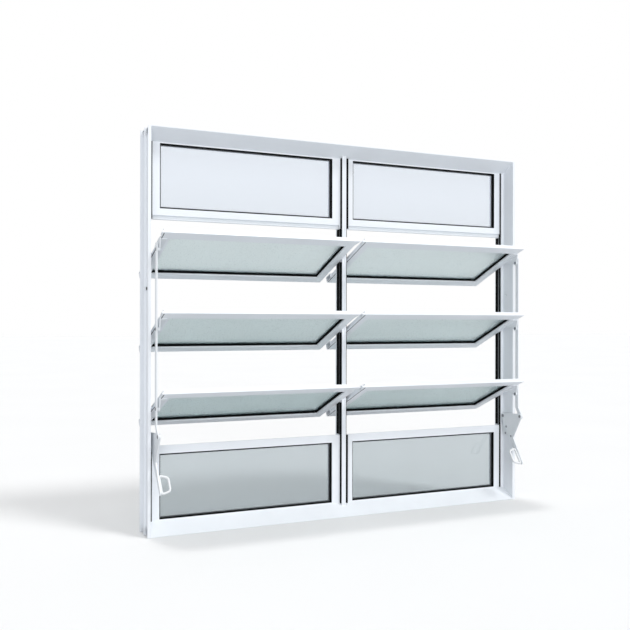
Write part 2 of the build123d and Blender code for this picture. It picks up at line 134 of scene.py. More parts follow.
GASKET = np.array((
    (0.0, 0.0), (0.9, 0.0), (0.99, 0.03), (1.0, 0.12), (0.98, 0.35), (0.9, 0.6), (0.8, 0.85),
    (0.7, 0.97), (0.55, 1.0), (0.0, 1.0),
))
COVER_STRIP = np.array((
    (0.0, 0.0), (0.06, -0.05), (0.94, -0.05), (1.0, 0.0), (1.0, 0.2), (0.0, 0.2),
))
# Section of the black strip of painted shade along a sash's left stile
SHADE_LINE_SECTION = np.array((
    (0.0, -0.2), (0.0, 0.5), (0.25, 0.85), (0.5, 1.0), (0.75, 0.85), (1.0, 0.5), (1.0, -0.2),
))

# Steps along the curves
RIB_STEPS, DOME_STEPS, HEAD_STEPS = 10, 15, 28
RING_STEPS, RING_SECTION_STEPS, PORT_STEPS = 32, 12, 26
CORNER_STEPS, BAR_STEPS = 9, 20

# Sockets of a Mix node that mixes colours
MIX_FACTOR, MIX_A, MIX_B, MIX_RESULT = 0, 6, 7, 2

# Stage: reach and height of the floor, tints of the sky, and spread and turn of each lamp in degrees
FLOOR_REACH, FLOOR_HEIGHT = 30.0, -0.0005
SKY_TINT, SKY_SEEN = (0.97, 0.985, 1.0, 1.0), (1.0, 1.0, 1.0, 1.0)
LAMPS = (
    ("key_light", "sun_strength", 15, (38, 0, 31)),
    ("overhead_light", "overhead_strength", 6, (-7, 0, 12)),
    ("front_light", "front_strength", 40, (82, 0, -18)),
)
SENSOR_WIDTH, CLIP_END = 36.0, 100.0

PAINTED_NODES = ("head", "sill", "left_jamb", "right_jamb", "mullion")


def linear(red, green, blue):
    """Linear colour of a display colour: the cut sRGB curve, one channel at a time."""
    shown = np.array((red, green, blue)) / 255.0
    low = shown / 12.92
    high = ((shown + 0.055) / 1.055) ** 2.4
    return tuple(float(value) for value in np.where(shown <= 0.04045, low, high))


# Settings


def colour_setting(name, description, default):
    """A colour property with its default."""
    return bpy.props.FloatVectorProperty(
        name=name, description=description, subtype="COLOR", size=3, min=0.0, max=1.0, default=default
    )


def length_setting(name, description, default):
    """A length property in metres with its default."""
    return bpy.props.FloatProperty(
        name=name, description=description, subtype="DISTANCE", unit="LENGTH", min=0.0, default=default
    )


def number_setting(name, description, default):
    """A plain number property with its default."""
    return bpy.props.FloatProperty(name=name, description=description, default=default)


class FinishSettings(bpy.types.PropertyGroup):
    """Colours of the paint, the glass, the rubber and the metal."""

    paint: colour_setting("Paint", "Powder coat of the frame and sashes", linear(240, 244, 249))
    fittings: colour_setting("Fittings", "Powder coat of rods, ears and levers", linear(233, 237, 241))
    handle: colour_setting("Handle", "Moulded loop handles", linear(236, 238, 240))
    # The high and low glass colours are painted light and shade: the glass is drawn lighter at the head and
    # darker at the sill for how the light falls on it.
    clear_high: colour_setting("Clear glass, high", "Fixed glass at the top", linear(235, 241, 249))
    clear_low: colour_setting("Clear glass, low", "Fixed glass at the bottom", linear(203, 211, 214))
    obscure_high: colour_setting("Obscure glass, high", "Sash glass at the top", linear(243, 252, 253))
    obscure_low: colour_setting("Obscure glass, low", "Sash glass at the bottom", linear(196, 219, 221))
    rubber: colour_setting("Rubber", "Gaskets and seals", linear(6, 8, 10))
    pile: colour_setting("Brush pile", "Pile between the two fins of a seal", linear(120, 122, 126))
    steel: colour_setting("Steel", "Rivets and screws", linear(150, 153, 158))


class GasketSettings(bpy.types.PropertyGroup):
    """Section of the gaskets that hold the glass."""

    width: length_setting("Width", "Width of the gasket on the glass", 3.0 * MM)
    light_height: length_setting("Height in a light", "From the glass to the gasket's crest", 7.0 * MM)
    sash_height: length_setting("Height in a sash", "From the glass to the gasket's crest", 6.0 * MM)


class SealSettings(bpy.types.PropertyGroup):
    """Fins and pile beside the sashes."""

    jamb_stand: length_setting("Jamb fin", "How far the front fin stands off the jamb", 5.8 * MM)
    mullion_stand: length_setting("Mullion fin", "How far the front fin stands off the mullion", 5.3 * MM)
    rear_stand: length_setting("Rear fin", "How far the rear fin stands off", 1.9 * MM)
    ribs: bpy.props.IntProperty(name="Ribs", description="Ribs on the face of a fin", default=4, min=1)


class HandleSettings(bpy.types.PropertyGroup):
    """The loop handles."""

    length: length_setting("Length", "Length of the loop along the arm", 54.0 * MM)
    reach: length_setting("Reach", "How far the loop stands inward", 27.0 * MM)
    taper: length_setting("Taper", "How much shorter each end of the grip is", 8.0 * MM)
    stroke: length_setting("Bar", "Thickness of the loop's bar", 5.0 * MM)
    depth: length_setting("Depth", "Depth of the bar across the loop", 6.4 * MM)
    corner: length_setting("Corner", "How far a corner's round starts from the corner", 7.0 * MM)


class RivetSettings(bpy.types.PropertyGroup):
    """Heads on the pins and rivets of the gear."""

    pin_head: length_setting("Pin head", "Radius of a head on a pin", 4.2 * MM)
    rivet_head: length_setting("Rivet head", "Radius of a small rivet's head", 3.4 * MM)
    height: length_setting("Height", "How far a head stands out", 1.0 * MM)


class StageSettings(bpy.types.PropertyGroup):
    """Floor, light and camera."""

    floor: colour_setting("Floor", "Floor as it lights the object", linear(208, 209, 211))
    floor_seen: colour_setting("Seen floor", "Floor as the camera sees it", linear(244, 244, 244))
    sky_strength: number_setting("Sky", "Strength of the even light", 0.52)
    sun_strength: number_setting("Key light", "Strength of the soft sun", 1.22)
    overhead_strength: number_setting("Overhead", "Strength of the light above", 0.7)
    front_strength: number_setting("Front", "Strength of the soft light in front", 1.3)
    lens: number_setting("Lens", "Focal length in mm on a 36 mm sensor", 50.063)
    camera_place: bpy.props.FloatVectorProperty(
        name="Camera", description="Place of the camera", subtype="TRANSLATION", unit="LENGTH",
        default=(-1.11389, -2.11753, 0.5234),
    )
    camera_turn: bpy.props.FloatVectorProperty(
        name="Camera turn", description="Rotation of the camera", subtype="EULER", unit="ROTATION",
        default=(math.radians(90), math.radians(-0.103), math.radians(-25.869)),
    )
    shift: number_setting("Shift", "Upward shift of the camera", 0.01132)


class WindowSettings(bpy.types.PropertyGroup):
    """Everything that the panel shows."""

    finish: bpy.props.PointerProperty(type=FinishSettings)
    gasket: bpy.props.PointerProperty(type=GasketSettings)
    seal: bpy.props.PointerProperty(type=SealSettings)
    handle: bpy.props.PointerProperty(type=HandleSettings)
    rivet: bpy.props.PointerProperty(type=RivetSettings)
    stage: bpy.props.PointerProperty(type=StageSettings)


def settings():
    """The settings of this scene."""
    return bpy.context.scene.pivot_window


# Surfaces


def tube(sections, closed):
    """Faces between the rows of a grid whose rows are closed profiles along a path.

    Each face joins two neighbouring points of one row to the same two of the next row. The last
    row meets the first where the path is closed. Else a flat face shuts each end.
    """
    rows, points = sections.shape[:2]
    index = np.arange(rows * points).reshape(rows, points)
    here = index if closed else index[:-1]
    beyond = np.roll(index, -1, axis=0) if closed else index[1:]
    faces = np.stack(
        (here, np.roll(here, -1, axis=1), np.roll(beyond, -1, axis=1), beyond), axis=-1
    ).reshape(-1, 4).tolist()
    if not closed:
        faces += [index[0][::-1].tolist(), index[-1].tolist()]
    return sections.reshape(-1, 3), faces


def round_rectangle(profile, middle, across, up, out, width, height):
    """A profile carried round a rectangle, with mitred corners.

    A profile point gives how far it lies inside the rectangle's edge and how far it stands out of
    its plane. At each corner the point is the half width and half height, both less the inset,
    with the corner's signs, plus the outward direction times the stand.
    """
    signs = np.array(((-1, -1), (1, -1), (1, 1), (-1, 1)), dtype=float)
    inset = profile[:, 0]
    halves = np.stack((width / 2 - inset, height / 2 - inset), axis=-1)
    flat = signs[:, None, :] * halves[None, :, :]
    places = middle + flat[..., :1] * across + flat[..., 1:] * up + profile[None, :, 1:] * out
    return tube(places, closed=True)


def upright_strip(plan, low, high):
    """A closed outline in plan carried straight up from one height to another."""
    levels = np.array((low, high))
    places = np.empty((2, len(plan), 3))
    places[..., :2] = plan
    places[..., 2] = levels[:, None]
    return tube(places, closed=False)


def ribbed_plan(seat_x, facing, stand, near, far, ribs):
    """Plan of a fin: its face is a row of rounded ribs.

    Along the depth the face stands off its seat by the full stand times six tenths plus four
    tenths of the size of a sine that crosses zero between the ribs.
    """
    along = np.linspace(0.0, 1.0, RIB_STEPS * ribs + 1)
    face = seat_x + facing * stand * (0.6 + 0.4 * np.abs(np.sin(np.pi * ribs * along)))
    depth = near + along * (far - near)
    front = np.stack((face, depth), axis=-1)
    back = np.array(((seat_x, far), (seat_x, near)))
    return np.concatenate((front, back))


def lip_plan(seat_x, facing, stand, near, far):
    """Plan of a front fin: a heel on its seat and a thin lip that stands out and leans back."""
    return np.array((seat_x, near)) + FIN_LIP * (facing * stand, far - near)


def domed_plan(seat_x, facing, stand, near, far):
    """Plan of a strip with a domed face: half an ellipse over its seat."""
    angle = np.linspace(0.0, np.pi, DOME_STEPS)
    face = seat_x + facing * stand * np.sin(angle)
    depth = (near + far) / 2 - np.cos(angle) * (far - near) / 2
    return np.stack((face, depth), axis=-1)


def head_profile(radius, height):
    """Radius and height of a pressed head from its rim to the dimple in its middle."""
    return HEAD * (radius, height)


def jamb_place(sign, reach, place):
    """A point so far in from a jamb's outer edge, at a depth and a height."""
    return (sign * (HALF_WIDTH - reach), *place)


def turned_head(place, facing, radius, height):
    """A head turned about the X direction: each profile point goes round a circle of its radius."""
    profile = head_profile(radius, height)
    angle = np.linspace(0.0, 2 * np.pi, HEAD_STEPS, endpoint=False)
    rows = np.empty((len(profile), len(angle), 3))
    rows[..., 0] = place[0] + facing * profile[:, 1:]
    rows[..., 1] = place[1] + profile[:, :1] * np.cos(angle)
    rows[..., 2] = place[2] + profile[:, :1] * np.sin(angle)
    return tube(rows, closed=False)


def turned_ring(place, facing, inner, outer, height):
    """A rounded ring turned about the X direction.

    Its section is an ellipse between the two radii: the radius is the middle radius plus half the
    ring's width times the cosine, and the stand is half the height times one plus the sine.
    """
    turn = np.linspace(0.0, 2 * np.pi, RING_STEPS, endpoint=False)[:, None]
    around = np.linspace(0.0, 2 * np.pi, RING_SECTION_STEPS, endpoint=False)[None, :]
    radius = (inner + outer) / 2 + (outer - inner) / 2 * np.cos(around)
    rows = np.empty((RING_STEPS, RING_SECTION_STEPS, 3))
    rows[..., 0] = place[0] + facing * height / 2 * (1 + np.sin(around))
    rows[..., 1] = place[1] + radius * np.cos(turn)
    rows[..., 2] = place[2] + radius * np.sin(turn)
    return tube(rows, closed=True)


def open_port(middle, opening, start, finish):
    """A C-shaped port carried along X.

    Its section is an arc of 290 degrees at the outer radius and the same arc backwards at the
    bore's radius, with the gap centred on the opening angle.
    """
    angle = opening + np.radians(np.linspace(*PORT_ARC, PORT_STEPS))
    circle = np.stack((np.cos(angle), np.sin(angle)), axis=-1)
    section = np.concatenate((PORT_RADIUS * circle, PORT_BORE * circle[::-1])) + middle
    rows = np.empty((2, len(section), 3))
    rows[..., 0] = np.array((start, finish))[:, None]
    rows[..., 1:] = section
    return tube(rows, closed=False)


def rounded_path(corners, start, steps):
    """A closed path with a round at each corner.

    Each round is a quadratic curve: the corner weighs twice t times one minus t, and the points
    where the round starts and ends weigh the squares of one minus t and of t.
    """
    before = np.roll(corners, 1, axis=0) - corners
    after = np.roll(corners, -1, axis=0) - corners
    enter = corners + before / np.linalg.norm(before, axis=1, keepdims=True) * start
    leave = corners + after / np.linalg.norm(after, axis=1, keepdims=True) * start
    t = np.linspace(0.0, 1.0, steps)[None, :, None]
    rounds = (1 - t) ** 2 * enter[:, None] + 2 * t * (1 - t) * corners[:, None] + t**2 * leave[:, None]
    return rounds.reshape(-1, 2)


def soft_square(half, power, steps):
    """A square with soft corners: sine and cosine raised to two over the power, signs kept."""
    angle = np.linspace(0.0, 2 * np.pi, steps, endpoint=False)
    wave = np.stack((np.cos(angle), np.sin(angle)), axis=-1)
    return half * np.sign(wave) * np.abs(wave) ** (2.0 / power)


def loop_bar(path, origin, along, across, section):
    """A soft square carried round a flat closed path.

    A point of the section lies its first number to the side of the path, in the path's plane,
    and its second number out of that plane.
    """
    ahead = np.roll(path, -1, axis=0) - np.roll(path, 1, axis=0)
    ahead = ahead / np.linalg.norm(ahead, axis=1, keepdims=True)
    beside = np.stack((ahead[:, 1], -ahead[:, 0]), axis=-1)
    flat = path[:, None] + beside[:, None] * section[None, :, :1]
    out = np.cross(along, across)
    places = origin + flat[..., :1] * along + flat[..., 1:] * across + section[None, :, 1:] * out
    return tube(places, closed=True)


def build_piece(name, surfaces, material, body, smooth_angle=35.0, replaced=()):
    """Joins surfaces in one mesh, turns its faces outwards and lets it ride on its body."""
    counts = np.cumsum([0] + [len(places) for places, _ in surfaces])
    places = np.concatenate([places for places, _ in surfaces])
    faces = []
    for shift, (_, some) in zip(counts, surfaces):
        faces += [[corner + int(shift) for corner in face] for face in some]
    mesh = bpy.data.meshes.new(name)
    mesh.from_pydata(places.tolist(), [], faces)
    work = bmesh.new()
    work.from_mesh(mesh)
    bmesh.ops.recalc_face_normals(work, faces=work.faces)
    work.to_mesh(mesh)
    work.free()
    mesh.shade_smooth()
    mesh.set_sharp_from_angle(angle=math.radians(smooth_angle))
    mesh.materials.append(material)
    piece = bpy.data.objects.new(name, mesh)
    bpy.context.scene.collection.objects.link(piece)
    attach(piece, body)
    if replaced:
        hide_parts(*replaced)
    return piece


# Finishes


def new_material(name):
    """An empty node material and its main shader."""
    material = bpy.data.materials.new(name)
    material.use_nodes = True
    return material, material.node_tree.nodes["Principled BSDF"]


def add_node(material, kind, **values):
    """A node of the given kind with its settings."""
    node = material.node_tree.nodes.new(kind)
    for key, value in values.items():
        setattr(node, key, value)
    return node


def noise(material, scale, detail=2.0, stretch=(1.0, 1.0, 1.0)):
    """A noise on Object coordinates, stretched along the axes by a Mapping node."""
    links = material.node_tree.links
    place = add_node(material, "ShaderNodeTexCoord")
    mapping = add_node(material, "ShaderNodeMapping")
    mapping.inputs["Scale"].default_value = stretch
    texture = add_node(material, "ShaderNodeTexNoise")
    texture.inputs["Scale"].default_value = scale
    texture.inputs["Detail"].default_value = detail
    links.new(place.outputs["Object"], mapping.inputs["Vector"])
    links.new(mapping.outputs["Vector"], texture.inputs["Vector"])
    return texture.outputs["Fac"]


def ranged(material, source, known, wanted):
    """A value moved from its known range to the wanted one."""
    node = add_node(material, "ShaderNodeMapRange")
    for key, value in zip(("From Min", "From Max", "To Min", "To Max"), (*known, *wanted)):
        node.inputs[key].default_value = value
    material.node_tree.links.new(source, node.inputs["Value"])
    return node.outputs["Result"]


def blended(material, factor, first, second):
    """One of two colours, or a mix of them by the factor."""
    node = add_node(material, "ShaderNodeMix", data_type="RGBA")
    colour_a, colour_b = node.inputs[MIX_A], node.inputs[MIX_B]
    for socket, colour in ((colour_a, first), (colour_b, second)):
        if isinstance(colour, bpy.types.NodeSocket):
            material.node_tree.links.new(colour, socket)
        else:
            socket.default_value = (*colour, 1.0)
    material.node_tree.links.new(factor, node.inputs[MIX_FACTOR])
    return node.outputs[MIX_RESULT]


def bumped(material, shader, height, strength, distance):
    """A bump from a height on the shader's normal."""
    node = add_node(material, "ShaderNodeBump")
    node.inputs["Strength"].default_value = strength
    node.inputs["Distance"].default_value = distance
    material.node_tree.links.new(height, node.inputs["Height"])
    material.node_tree.links.new(node.outputs["Normal"], shader.inputs["Normal"])


def roughened(material, shader, source, wanted):
    """A roughness that follows a noise over the middle of the noise's range."""
    rough = ranged(material, source, (0.3, 0.7), wanted)
    material.node_tree.links.new(rough, shader.inputs["Roughness"])


def shaded(colour, amount):
    """A colour times an amount."""
    return tuple(channel * amount for channel in colour)


def powder_coat(name, colour):
    """White powder coat: fine orange peel, faint clouds of shade and a satin gloss that varies."""
    material, shader = new_material(name)
    links = material.node_tree.links
    clouds = ranged(material, noise(material, scale=7.0, detail=4.0), (0.35, 0.65), (0.0, 1.0))
    upright_lines = noise(material, scale=40.0, detail=2.0, stretch=(1.0, 1.0, 0.05))
    drawn = ranged(material, upright_lines, (0.4, 0.6), (0.0, 1.0))
    base = blended(material, clouds, shaded(colour, 0.965), colour)
    dusty = blended(material, drawn, shaded(colour, 0.985), colour)
    mixed = add_node(material, "ShaderNodeMix", data_type="RGBA", blend_type="DARKEN")
    mixed.inputs[MIX_FACTOR].default_value = 1.0
    links.new(base, mixed.inputs[MIX_A])
    links.new(dusty, mixed.inputs[MIX_B])
    links.new(mixed.outputs[MIX_RESULT], shader.inputs["Base Color"])
    roughened(material, shader, noise(material, scale=55.0), (0.3, 0.42))
    bumped(material, shader, noise(material, scale=900.0, detail=2.0), strength=0.12, distance=0.0002)
    shader.inputs["Specular IOR Level"].default_value = 0.45
    return material


def painted_shade_by_height(material, low_colour, high_colour):
    """Painted shade by height: a colour that goes from one at the sill to another at the head, so that glass
    is drawn darker low down and lighter high up, as the light falls on it.
    """
    place = add_node(material, "ShaderNodeTexCoord")
    parts = add_node(material, "ShaderNodeSeparateXYZ")
    material.node_tree.links.new(place.outputs["Object"], parts.inputs["Vector"])
    factor = ranged(material, parts.outputs["Z"], (0.1, 0.9), (0.0, 1.0))
    return blended(material, factor, low_colour, high_colour)


def clear_glass(name, low_colour, high_colour):
    """Float glass: almost flat, with a faint ripple, a light film of dust and painted shade that makes it
    darker towards the sill.
    """
    material, shader = new_material(name)
    links = material.node_tree.links
    # Painted shade: the glass tint darkens from the head down to the sill.
    tint_and_shade = painted_shade_by_height(material, low_colour, high_colour)
    film = ranged(material, noise(material, scale=3.0, detail=3.0), (0.35, 0.75), (0.0, 0.05))
    links.new(blended(material, film, tint_and_shade, (0.75, 0.78, 0.8)), shader.inputs["Base Color"])
    roughened(material, shader, noise(material, scale=12.0, detail=2.0), (0.03, 0.06))
    bumped(material, shader, noise(material, scale=4.0, detail=0.0), strength=0.04, distance=0.001)
    shader.inputs["Transmission Weight"].default_value = 0.9
    shader.inputs["IOR"].default_value = 1.52
    return material


def obscure_glass(name, low_colour, high_colour):
    """Rolled obscure glass: fine pebbles over a soft swell, pale with the light behind it, and painted shade
    that makes it darker towards the sill.
    """
    material, shader = new_material(name)
    links = material.node_tree.links
    # Painted shade: the glass tint darkens from the top sashes down to the bottom ones.
    tint_and_shade = painted_shade_by_height(material, low_colour, high_colour)
    cells = add_node(material, "ShaderNodeTexVoronoi", feature="SMOOTH_F1")
    cells.inputs["Scale"].default_value = 420.0
    place = add_node(material, "ShaderNodeTexCoord")
    links.new(place.outputs["Object"], cells.inputs["Vector"])
    grain = ranged(material, cells.outputs["Distance"], (0.0, 0.7), (0.0, 1.0))
    swell = ranged(material, noise(material, scale=9.0, detail=3.0), (0.3, 0.7), (0.0, 0.1))
    pale = blended(material, swell, tint_and_shade, (0.82, 0.88, 0.9))
    links.new(pale, shader.inputs["Base Color"])
    links.new(ranged(material, grain, (0.0, 1.0), (0.24, 0.36)), shader.inputs["Roughness"])
    bumped(material, shader, grain, strength=0.1, distance=0.0002)
    shader.inputs["Transmission Weight"].default_value = 0.85
    shader.inputs["IOR"].default_value = 1.5
    return material


def rubber(name, colour):
    """Extruded black rubber: drawn lines, a dusty bloom and a matt face."""
    material, shader = new_material(name)
    links = material.node_tree.links
    bloom = ranged(material, noise(material, scale=90.0, detail=4.0), (0.5, 0.85), (0.0, 0.15))
    links.new(blended(material, bloom, colour, (0.006, 0.006, 0.0075)), shader.inputs["Base Color"])
    shader.inputs["Specular IOR Level"].default_value = 0.07
    roughened(material, shader, noise(material, scale=240.0), (0.55, 0.75))
    bumped(material, shader, noise(material, scale=1400.0, detail=2.0), strength=0.2, distance=0.0001)
    return material


def pile(name, colour):
    """Woven brush pile: short upright fibres, lighter at some tips."""
    material, shader = new_material(name)
    links = material.node_tree.links
    fibres = noise(material, scale=1500.0, detail=2.0, stretch=(0.25, 1.0, 1.0))
    tips = ranged(material, fibres, (0.35, 0.7), (0.0, 1.0))
    links.new(blended(material, tips, shaded(colour, 0.45), shaded(colour, 1.5)), shader.inputs["Base Color"])
    bumped(material, shader, fibres, strength=0.7, distance=0.0006)
    shader.inputs["Roughness"].default_value = 0.95
    shader.inputs["Sheen Weight"].default_value = 0.3
    return material


def moulded(name, colour):
    """White moulded nylon: a fine spark texture and a slightly waxy face."""
    material, shader = new_material(name)
    links = material.node_tree.links
    clouds = ranged(material, noise(material, scale=35.0, detail=3.0), (0.35, 0.65), (0.0, 1.0))
    links.new(blended(material, clouds, shaded(colour, 0.95), colour), shader.inputs["Base Color"])
    roughened(material, shader, noise(material, scale=300.0), (0.36, 0.5))
    bumped(material, shader, noise(material, scale=1800.0, detail=2.0), strength=0.25, distance=0.0001)
    shader.inputs["Subsurface Weight"].default_value = 0.05
    shader.inputs["Subsurface Radius"].default_value = (0.002, 0.002, 0.002)
    return material


def steel(name, colour):
    """Plated steel: turned rings, small scratches and a bright worn crown."""
    material, shader = new_material(name)
    links = material.node_tree.links
    scratches = noise(material, scale=900.0, detail=3.0, stretch=(1.0, 0.1, 1.0))
    worn = ranged(material, scratches, (0.4, 0.65), (0.0, 1.0))
    links.new(blended(material, worn, shaded(colour, 0.8), colour), shader.inputs["Base Color"])
    roughened(material, shader, scratches, (0.25, 0.45))
    bumped(material, shader, scratches, strength=0.2, distance=0.0001)
    shader.inputs["Metallic"].default_value = 0.9
    return material


def named_material(name, maker, *colours):
    """The material of that name, made at its first use."""
    found = bpy.data.materials.get(name)
    return found if found else maker(name, *(tuple(colour) for colour in colours))


def paint_material():
    """The powder coat of the frame and sashes."""
    return named_material("white_powder_coat", powder_coat, settings().finish.paint)


def fitting_material():
    """The powder coat of the gear."""
    return named_material("fitting_powder_coat", powder_coat, settings().finish.fittings)


def rubber_material():
    """The rubber of gaskets and fins."""
    return named_material("black_rubber", rubber, settings().finish.rubber)


def steel_material():
    """The steel of rivets and screws."""
    return named_material("plated_steel", steel, settings().finish.steel)


def dress_node(node, material):
    """Gives a CAD node its finish in place of the one that it came with."""
    node.data.materials.clear()
    node.data.materials.append(material)


# Operators


class WINDOW_OT_paint(bpy.types.Operator):
    """Finish the frame, the sashes and the gear"""

    bl_idname = "pivot_window.paint"
    bl_label = "Paint frame, sashes and gear"

    def execute(self, context):
        for name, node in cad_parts.items():
            if name.endswith(("_rod", "_lever", "_lever_bracket", "_ear")):
                dress_node(node, fitting_material())
            elif name in PAINTED_NODES or name.endswith(("_light", "_sash")):
                dress_node(node, paint_material())
        return {"FINISHED"}


class WINDOW_OT_glaze(bpy.types.Operator):
    """Finish the clear glass of the lights and the obscure glass of the sashes"""

    bl_idname = "pivot_window.glaze"
    bl_label = "Glaze lights and sashes"

    def execute(self, context):
        finish = settings().finish
        clear = named_material("clear_float_glass", clear_glass, finish.clear_low, finish.clear_high)
        obscure = named_material(
            "obscure_rolled_glass", obscure_glass, finish.obscure_low, finish.obscure_high
        )
        dress_node(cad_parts["fixed_glass"], clear)
        for side in SIDES:
            for level in LEVELS:
                dress_node(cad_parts[f"{side}_{level}_glass"], obscure)
        return {"FINISHED"}


def gasket_profile(width, height):
    """Wedge gasket: a foot on the glass, a soft nose and a thin crest against the frame."""
    return GASKET * (width, height)


class WINDOW_OT_light_gaskets(bpy.types.Operator):
    """Make the wedge gaskets of the four fixed lights"""

    bl_idname = "pivot_window.light_gaskets"
    bl_label = "Gaskets of the fixed lights"

    def execute(self, context):
        sizes = settings().gasket
        profile = gasket_profile(sizes.width, sizes.light_height)
        surfaces = []
        for sign in SIDES.values():
            for low, high in LIGHT_OPENINGS.values():
                middle = np.array((sign * LIGHT_MIDDLE, LIGHT_GLASS, (low + high) / 2))
                surfaces.append(round_rectangle(
                    profile, middle, ALONG_WIDTH, UPRIGHT, TOWARD_ROOM, LIGHT_OPENING_WIDTH, high - low
                ))
        build_piece(
            "light_gaskets", surfaces, rubber_material(), "frame", replaced=("fixed_gaskets",)
        )
        return {"FINISHED"}


class WINDOW_OT_sash_gaskets(bpy.types.Operator):
    """Make the wedge gasket of each sash, on the sash's own leaning plane"""

    bl_idname = "pivot_window.sash_gaskets"
    bl_label = "Gaskets of the sashes"

    def execute(self, context):
        sizes = settings().gasket
        profile = gasket_profile(sizes.width, sizes.sash_height)
        low, high = SASH_OPENING
        for side, sign in SIDES.items():
            for level, pivot_z in LEVELS.items():
                pivot = np.array((sign * LIGHT_MIDDLE, PIVOT_Y, pivot_z))
                middle = pivot + (low + high) / 2 * UP_SASH + SASH_GLASS * INTO_ROOM
                surface = round_rectangle(
                    profile, middle, ALONG_WIDTH, UP_SASH, INTO_ROOM, SASH_OPENING_WIDTH, high - low
                )
                build_piece(
                    f"{side}_{level}_glazing_gasket", [surface], rubber_material(),
                    f"{side}_{level}_sash_body", replaced=(f"{side}_{level}_gasket",),
                )
        return {"FINISHED"}


class WINDOW_OT_seals(bpy.types.Operator):
    """Make the joint seals beside the lights, and the fins and pile beside the sashes"""

    bl_idname = "pivot_window.seals"
    bl_label = "Seals of jambs and mullion"

    def execute(self, context):
        sizes = settings().seal
        low = BOTTOM_LIGHT_HIGH + SEAL_END
        high = TOP_LIGHT_LOW - SEAL_END
        spans = []
        start = low
        for pivot_z in sorted(LEVELS.values()):
            spans.append((start, pivot_z - PIN_WINDOW))
            start = pivot_z + PIN_WINDOW
        spans.append((start, high))
        jamb = (STEP_FACE + JOINT_SETBACK, JAMB_JOINT, sizes.jamb_stand, *JAMB_FINS)
        mullion = (MULLION_FACE + JOINT_SETBACK, MULLION_JOINT, sizes.mullion_stand, *MULLION_FINS)
        seats = (
            (-(HALF_WIDTH - JAMB_SEAT), 1, LIPPED_JOINT, *jamb),
            (-MULLION_SEAT, -1, COVERED_JOINT, *mullion),
            (MULLION_SEAT, 1, LIPPED_JOINT, *mullion),
            (HALF_WIDTH - JAMB_SEAT, -1, LIPPED_JOINT, *jamb),
        )
        fins = []
        brushes = []
        for seat_x, facing, shares, face, joint, stand, front, rear in seats:
            joint_plan = shares * (facing * joint, JOINT_DEPTH) + (seat_x, face)
            fins.append(upright_strip(joint_plan, SLOPE_HEIGHT, BOTTOM_LIGHT_HIGH))
            fins.append(upright_strip(joint_plan, TOP_LIGHT_LOW, HEIGHT - SLOPE_HEIGHT))
            front_plan = lip_plan(seat_x, facing, stand, *front)
            for strip_low, strip_high in spans:
                fins.append(upright_strip(front_plan, strip_low, strip_high))
            rear_plan = ribbed_plan(seat_x, facing, sizes.rear_stand, *rear, sizes.ribs)
            fins.append(upright_strip(rear_plan, low, high))
            brush_stand = BRUSH_SHARE * sizes.rear_stand
            brush_plan = domed_plan(seat_x, facing, brush_stand, rear[0] - BRUSH_WIDTH, rear[0])
            for strip_low, strip_high in spans:
                brushes.append(upright_strip(brush_plan, strip_low, strip_high))
        build_piece("frame_seals", fins, rubber_material(), "frame", replaced=("seals",))
        pile_material = named_material("brush_pile", pile, settings().finish.pile)
        build_piece("brush_strips", brushes, pile_material, "frame")
        return {"FINISHED"}


class WINDOW_OT_cover_strips(bpy.types.Operator):
    """Make the painted strip that covers the joint between the left lights and the mullion"""

    bl_idname = "pivot_window.cover_strips"
    bl_label = "Cover strips of the mullion joint"

    def execute(self, context):
        plan = COVER_STRIP * (COVER_WIDTH, JOINT_DEPTH) + (COVER_LEFT, STEP_FACE - COVER_STAND)
        strips = [
            upright_strip(plan, SLOPE_HEIGHT, BOTTOM_LIGHT_HIGH),
            upright_strip(plan, TOP_LIGHT_LOW, HEIGHT - SLOPE_HEIGHT),
        ]
        build_piece("joint_cover_strips", strips, paint_material(), "frame")
        return {"FINISHED"}


class WINDOW_OT_stile_shade_lines(bpy.types.Operator):
    """Make the thin black strip of painted shade along the left stile of each sash, which stands for the
    shaded side of the stile
    """

    bl_idname = "pivot_window.stile_beads"
    # These strips are painted shade: black rubber that stands for the shaded side of each stile.
    bl_label = "Beads of the sash stiles"

    def execute(self, context):
        section = SHADE_LINE_SECTION * (SHADE_LINE_WIDTH, SHADE_LINE_STAND)
        for side, sign in SIDES.items():
            left_edge = sign * LIGHT_MIDDLE - SASH_HALF_WIDTH + SHADE_LINE_INSET
            for level, pivot_z in LEVELS.items():
                pivot = np.array((0.0, PIVOT_Y, pivot_z))
                ends = np.array((SHADE_LINE_LOW, SHADE_LINE_HIGH))
                rows = pivot + ends[:, None, None] * UP_SASH
                rows = rows + (left_edge + section[None, :, :1]) * ALONG_WIDTH
                rows = rows + (SASH_ROOM_SIDE + section[None, :, 1:]) * INTO_ROOM
                build_piece(
                    f"{side}_{level}_stile_bead", [tube(rows, closed=False)], rubber_material(),
                    f"{side}_{level}_sash_body",
                )
        return {"FINISHED"}


class WINDOW_OT_grommets(bpy.types.Operator):
    """Make the rubber ring in each jamb's fixing hole"""

    bl_idname = "pivot_window.grommets"
    bl_label = "Grommets of the fixing holes"

    def execute(self, context):
        rings = []
        for sign in SIDES.values():
            place = jamb_place(sign, GROMMET_REACH, FIXING)
            rings.append(turned_ring(place, sign, GROMMET_BORE, GROMMET_RADIUS, GROMMET_STAND))
        build_piece("fixing_grommets", rings, rubber_material(), "frame")
        return {"FINISHED"}


class WINDOW_OT_screw_ports(bpy.types.Operator):
    """Make the open screw ports in the hollow ends of the head and sill"""

    bl_idname = "pivot_window.screw_ports"
    bl_label = "Screw ports of head and sill"

    def execute(self, context):
        ports = []
        for sign in SIDES.values():
            for base, upward in ((0.0, 1), (HEIGHT, -1)):
                for seat_y, seat_z, opening in PORTS:
                    middle = (seat_y, base + upward * seat_z)
                    start = sign * (HALF_WIDTH - PORT_START)
                    finish = sign * (HALF_WIDTH - PORT_END)
                    ports.append(open_port(middle, math.radians(upward * opening), start, finish))
        build_piece("screw_ports", ports, paint_material(), "frame")
        return {"FINISHED"}


